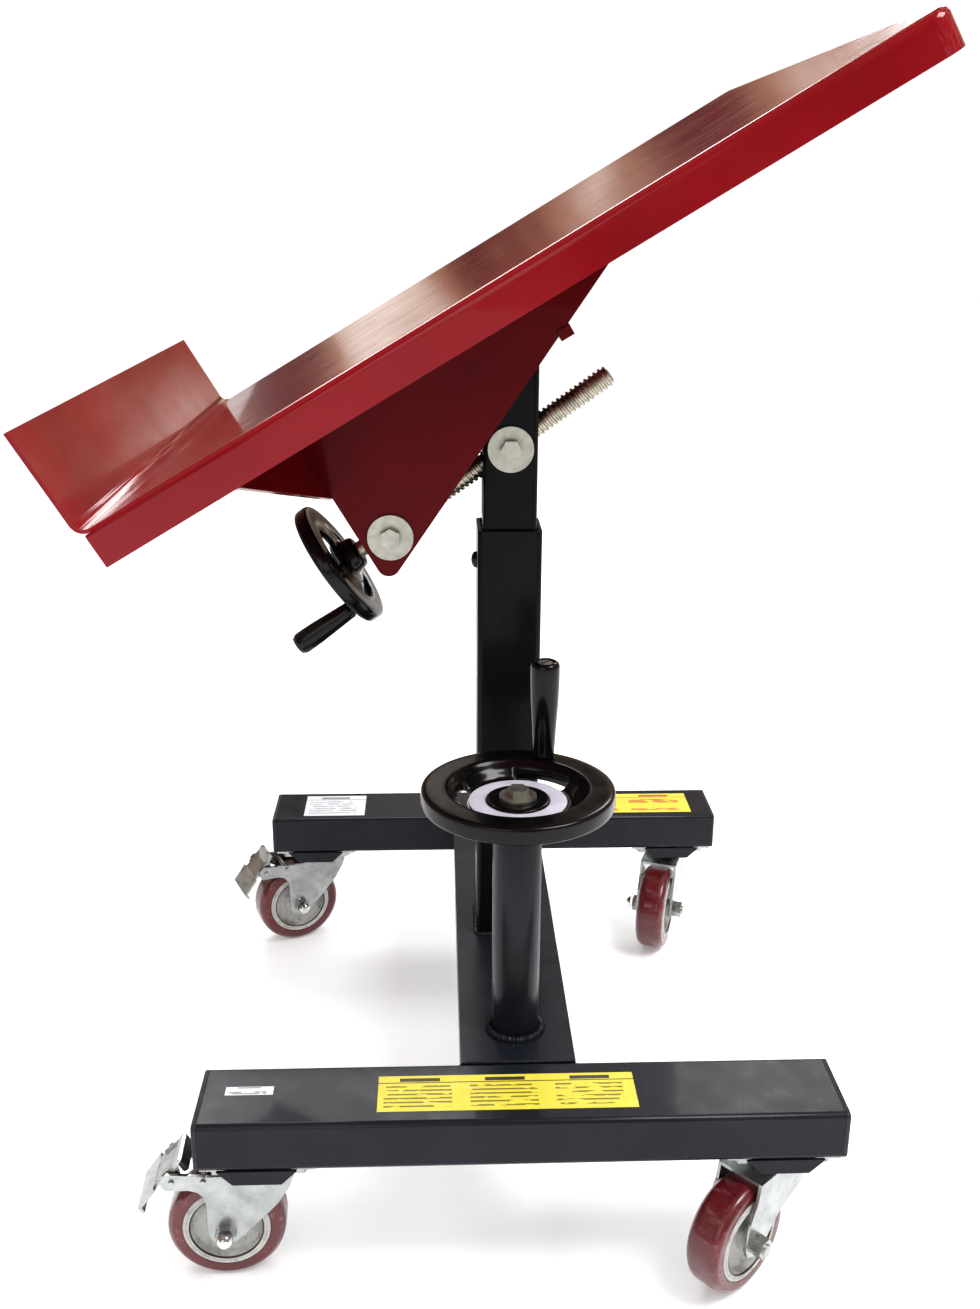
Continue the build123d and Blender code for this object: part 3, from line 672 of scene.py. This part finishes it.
def make_grips():
    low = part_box("lift_grip")[0].z
    centre = middle("lift_grip")
    place = Matrix.Translation((centre.x, centre.y, low))
    mesh = grip_mesh("lift_grip_moulding", 89.6, 9.5, 13.0, 4.1)
    grip = finished("lift_grip_moulding", mesh, MATERIALS["black_plastic"], "lift_grip",
                    place, 50)
    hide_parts("lift_grip")
    start = Vector(JOINTS["tilt_grip_spin"]["pos_m"]) - TILT_OUT * GRIP_FOOT
    mesh = grip_mesh("tilt_grip_moulding", 61.6, 8.0, 10.5, 3.6)
    grip = finished("tilt_grip_moulding", mesh, MATERIALS["black_plastic"], "tilt_grip",
                    axis_frame(start, TILT_OUT), 50)
    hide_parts("tilt_grip")


def make_screw_heads():
    centre = middle("lift_grip")
    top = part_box("lift_grip")[1].z
    # a near-black slab in the grip's screw head: painted shade, for the shadow in its slot
    slot = slab_mesh("lift_grip_screw_slot", (0.0105, 0.0016, 0.0006))
    finished("lift_grip_screw_slot", slot, SHADE_BLACK, "lift_grip",
             Matrix.Translation((centre.x, centre.y, top - 0.0009)) @ Matrix.Rotation(0.7, 4, "Z"))


# ---------------------------------------------------------------- casters
def mirrored(half):
    """A (radius, height) outline closed by its own mirror image above height 0."""
    return half + [(radius, -height) for radius, height in reversed(half)]


def make_caster_looks(corner):
    spin = JOINTS[corner + "_wheel_spin"]
    swivel = JOINTS[corner + "_swivel_turn"]
    centre = Vector(spin["pos_m"])
    axis = Vector(spin["axis"])
    place = axis_frame(centre, axis, (0, 0, 1))
    half = [(37, -16), (45.4, -16), (49.2, -12.2), (50, -8)]
    tread = rounded(mirrored(half), 1.6)
    piece = finished(corner + "_tyre", lathe_mesh(corner + "_tyre", tread, 112), MATERIALS["polyurethane"],
                     corner + "_wheel", place, 50)
    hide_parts(corner + "_tread")
    half = [
        (5.06, -18.5), (9.4, -18.5), (10.4, -17.6), (10.8, -9.5), (13.0, -8.2), (17.5, -8.0), (18.4, -8.6),
        (20.2, -8.6), (21.0, -8.0), (27.5, -8.2), (29.2, -9.0), (30.4, -12.0), (31.0, -16.0), (31.8, -16.7),
        (33.2, -16.4), (33.8, -15.9), (34.4, -16.5), (36.2, -16.5), (37.0, -15.8),
    ]
    hub = lathe_mesh(corner + "_wheel_hub", mirrored(half), 96)
    piece = finished(corner + "_wheel_hub", hub, MATERIALS["hub_plastic"], corner + "_wheel",
                     place, 40)
    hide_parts(corner + "_hub")
    # a thin near-black ring round each face of the hub: painted shade, for the shadow in a groove there
    for side in (-1, 1):
        line = [(30.5, 16.2 * side), (31.6, 16.85 * side), (31.6, 15.6 * side), (30.5, 15.6 * side)]
        name = f"{corner}_hub_groove_{side + 1}"
        finished(name, lathe_mesh(name, line, 96), SHADE_BLACK, corner + "_wheel", place, 60)

    # the axle ends in a domed cap nut on one side, and the CAD axle has a hexagon head on the other
    out = axis if corner in BRAKED else -axis
    base = centre + out * 0.0315
    dome = rounded([(0, 0), (6.9, 0), (6.9, 0.8), (6.2, 2.9), (4.4, 4.9), (2.2, 5.7), (0, 5.9)], 0.6)
    finished(corner + "_cap_nut", lathe_mesh(corner + "_cap_nut", dome, 36), CHROME,
             corner + "_swivel", axis_frame(base, out, (0, 0, 1)), 60)

    top = Vector(swivel["pos_m"])
    # a near-black ring at the swivel head: painted shade, for the ball race's zinc cup in shadow
    race = rounded([(24.2, 111.7), (26.6, 111.7), (27.4, 112.8), (26.6, 114.4), (25.0, 114.4)], 0.5)
    finished(corner + "_ball_race", lathe_mesh(corner + "_ball_race", race, 72), SHADE_BLACK,
             corner + "_swivel", Matrix.Translation((top.x, top.y, 0)), 60)
    if corner not in BRAKED:
        return
    trail = Vector((centre.x - top.x, centre.y - top.y, 0)).normalized()
    side = Vector((-trail.y, trail.x, 0))
    turn = Matrix((trail, side, Vector((0, 0, 1)))).transposed().to_4x4()
    local = Matrix.Translation((top.x, top.y, 0)) @ turn
    pad = slab_mesh(corner + "_pedal_pad", (0.0055, 0.034, 0.013), 0.0016)
    tilt = Matrix.Translation((0.0648, 0, 0.1160)) @ Matrix.Rotation(math.radians(32), 4, "Y")
    finished(corner + "_pedal_pad", pad, RUBBER, corner + "_brake", local @ tilt, 40)


# ---------------------------------------------------------------- welds
WELD_RIPPLE = 0.16
WELD_WAVE = 0.0028


def weld(name, path, radius, seed, closed=False):
    """A painted weld bead on the base; radius is in millimetres, the path in metres."""
    mesh = tube_mesh(name, path, radius * MM, 8, closed, WELD_RIPPLE, WELD_WAVE, seed)
    return finished(name, mesh, MATERIALS["frame_paint"], "base", None, 60)


def circle(centre, radius, z, count=72):
    points = [on_circle(radius, step, count) for step in range(count)]
    return [(centre.x + x, centre.y + y, z) for x, y in points]


def make_welds():
    low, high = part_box("handwheel_post")
    around = circle(POST, (high.x - low.x) / 2 + 0.0020, BEAM_TOP + 0.0012)
    weld("post_foot_weld", around, 3.6, closed=True, seed=3)

    low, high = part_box("outer_column")
    z = BEAM_TOP + 0.0006
    cut = 0.004
    corners = [
        (low.x + cut, low.y, z), (high.x - cut, low.y, z),
        (high.x, low.y + cut, z), (high.x, high.y - cut, z),
        (high.x - cut, high.y, z), (low.x + cut, high.y, z),
        (low.x, high.y - cut, z), (low.x, low.y + cut, z),
    ]
    weld("column_foot_weld", corners, 2.4, closed=True, seed=5)

    low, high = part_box("spine_channel")
    for label, y in (("front", low.y), ("rear", high.y)):
        for side, x in (("left", low.x), ("right", high.x)):
            upright = [(x, y, low.z + cut), (x, y, high.z - 0.003)]
            weld(f"spine_{label}_{side}_weld", upright, 2.0, seed=len(label + side))
        across = [(low.x + cut, y, BEAM_TOP + 0.0001), (high.x - cut, y, BEAM_TOP + 0.0001)]
        weld(f"spine_{label}_top_weld", across, 1.5, seed=len(label))


# ---------------------------------------------------------------- labels
def make_labels():
    z = BEAM_TOP + 0.00012
    yellow, white = (0.72, 0.62, 0.06), (0.74, 0.76, 0.79)
    sheets = (
        ("front_label", (-0.1198, -0.3095), (0.2160, 0.0470), yellow, (0.05, 0.04, 0.02), 3, 9),
        ("front_small_label", (-0.2473, -0.2840), (0.0400, 0.0110), white, (0.12, 0.12, 0.12), 1, 1),
        ("rear_label", (-0.2318, 0.2565), (0.0735, 0.0570), white, (0.25, 0.25, 0.26), 1, 9),
        ("rear_yellow_label", (0.0857, 0.2560), (0.1565, 0.0545), yellow, (0.45, 0.10, 0.03), 2, 2),
    )
    for name, offset, size, base, ink, panels, rows in sheets:
        start = (COLUMN.x + offset[0], COLUMN.y + offset[1])
        mesh = slab_mesh(name, (size[0], size[1], 0.0002))
        mesh.transform(Matrix.Translation((start[0] + size[0] / 2, start[1] + size[1] / 2, z)))
        material = label_paper(name + "_print", base, ink, panels, rows, start, size)
        finished(name, mesh, material, "base")


# ---------------------------------------------------------------- camera, floor and light
CAMERA_PLACE = (COLUMN.x - 0.0667, COLUMN.y - 1.2330, 0.8707)
YAW, PITCH, ROLL = 0.04048, 0.32142, -0.00598
SENSOR = 36.0
LENS = 36.81956


def make_camera():
    ahead = Vector((math.sin(YAW) * math.cos(PITCH), math.cos(YAW) * math.cos(PITCH), -math.sin(PITCH)))
    right = Vector((math.cos(YAW), -math.sin(YAW), 0))
    down = ahead.cross(right)
    side = math.cos(ROLL) * right + math.sin(ROLL) * down
    under = -math.sin(ROLL) * right + math.cos(ROLL) * down
    data = bpy.data.cameras.new("photo_camera")
    data.sensor_width = SENSOR
    data.lens = LENS
    data.clip_end = 30.0
    camera = bpy.data.objects.new("photo_camera", data)
    bpy.context.scene.collection.objects.link(camera)
    turn = Matrix((side, -under, -ahead)).transposed().to_4x4()
    camera.matrix_world = Matrix.Translation(CAMERA_PLACE) @ turn
    bpy.context.scene.camera = camera


LIGHTS = (
    # name, place, what it looks at, size, watts
    ("key", (1.7, -0.9, 3.2), (0, 0.1, 0.4), (1.5, 1.5), 72),
    ("front", (-1.2, -2.6, 1.5), (0, 0, 0.3), (1.6, 1.6), 8),
    ("back", (-0.6, 2.4, 2.6), (0, 0, 0.3), (1.8, 0.9), 30),
    ("streak", (0.85, 1.75, 1.70), (0.2, -0.3, 0.17), (0.5, 0.4), 3.3),
)


def area(name, place, target, size, power):
    data = bpy.data.lights.new(name, "AREA")
    data.shape = "RECTANGLE"
    data.size, data.size_y = size
    data.energy = power
    lamp = bpy.data.objects.new(name, data)
    bpy.context.scene.collection.objects.link(lamp)
    ahead = (Vector(target) - Vector(place)).normalized()
    lamp.matrix_world = axis_frame(place, -ahead, (1, 0, 0))


FLOOR_REACH = 12
WALL_PALE = (0.86, 0.86, 0.87, 1)
WORLD_STRENGTH = 0.9
GLOSS_STOPS = (
    # a workshop's dark, tan and bright patches
    (0.40, (0.03, 0.022, 0.022, 1)),
    (0.51, (0.30, 0.19, 0.12, 1)),
    (0.68, (1.15, 1.08, 0.98, 1)),
)


def make_floor():
    reach = FLOOR_REACH
    mesh = bpy.data.meshes.new("floor")
    mesh.from_pydata([(-reach, -reach, 0), (reach, -reach, 0), (reach, reach, 0), (-reach, reach, 0)], [],
                     [(0, 1, 2, 3)])
    floor = bpy.data.objects.new("floor", mesh)
    bpy.context.scene.collection.objects.link(floor)
    paint = Paint("floor_paint")
    paint.color(paint.ramp(paint.noise(2, 2), [(0.3, (0.88, 0.88, 0.875)), (0.7, (0.90, 0.90, 0.895))]))
    paint.constants(Roughness=0.75, Emission_Color=(1.0, 1.0, 1.0, 1.0), Emission_Strength=0.14)
    mesh.materials.append(paint.material)


def make_world():
    """Plain and pale to look at and to light by, with soft patches that only glossy rays pick up."""
    world = bpy.data.worlds.new("studio")
    bpy.context.scene.world = world
    world.use_nodes = True
    nodes, links = world.node_tree.nodes, world.node_tree.links
    background = nodes["Background"]
    coords = nodes.new("ShaderNodeTexCoord")
    patches = nodes.new("ShaderNodeTexNoise")
    patches.inputs["Scale"].default_value = 7.0
    patches.inputs["Detail"].default_value = 4.0
    links.new(coords.outputs["Generated"], patches.inputs["Vector"])
    ramp = nodes.new("ShaderNodeValToRGB")
    stops = ramp.color_ramp.elements
    stops.new(0.5)
    for stop, (place, color) in zip(stops, GLOSS_STOPS):
        stop.position = place
        stop.color = color
    links.new(patches.outputs["Fac"], ramp.inputs["Fac"])
    path = nodes.new("ShaderNodeLightPath")
    choose = nodes.new("ShaderNodeMix")
    choose.data_type = "RGBA"
    links.new(path.outputs["Is Glossy Ray"], choose.inputs["Factor"])
    choose.inputs[6].default_value = WALL_PALE
    links.new(ramp.outputs["Color"], choose.inputs[7])
    links.new(choose.outputs[2], background.inputs["Color"])
    background.inputs["Strength"].default_value = WORLD_STRENGTH


def make_stage():
    make_floor()
    make_world()
    for name, place, target, size, watts in LIGHTS:
        area(name, place, target, size, watts)
    settings = bpy.context.scene.view_settings
    settings.view_transform = "Standard"
    settings.look = "Medium High Contrast"
    settings.exposure = 0.15


dress_nodes()
make_tilt_screw()
make_lift_wheel()
make_tilt_wheel()
make_grips()
make_screw_heads()
for corner in CORNERS:
    make_caster_looks(corner)
make_welds()
make_labels()
make_camera()
make_stage()
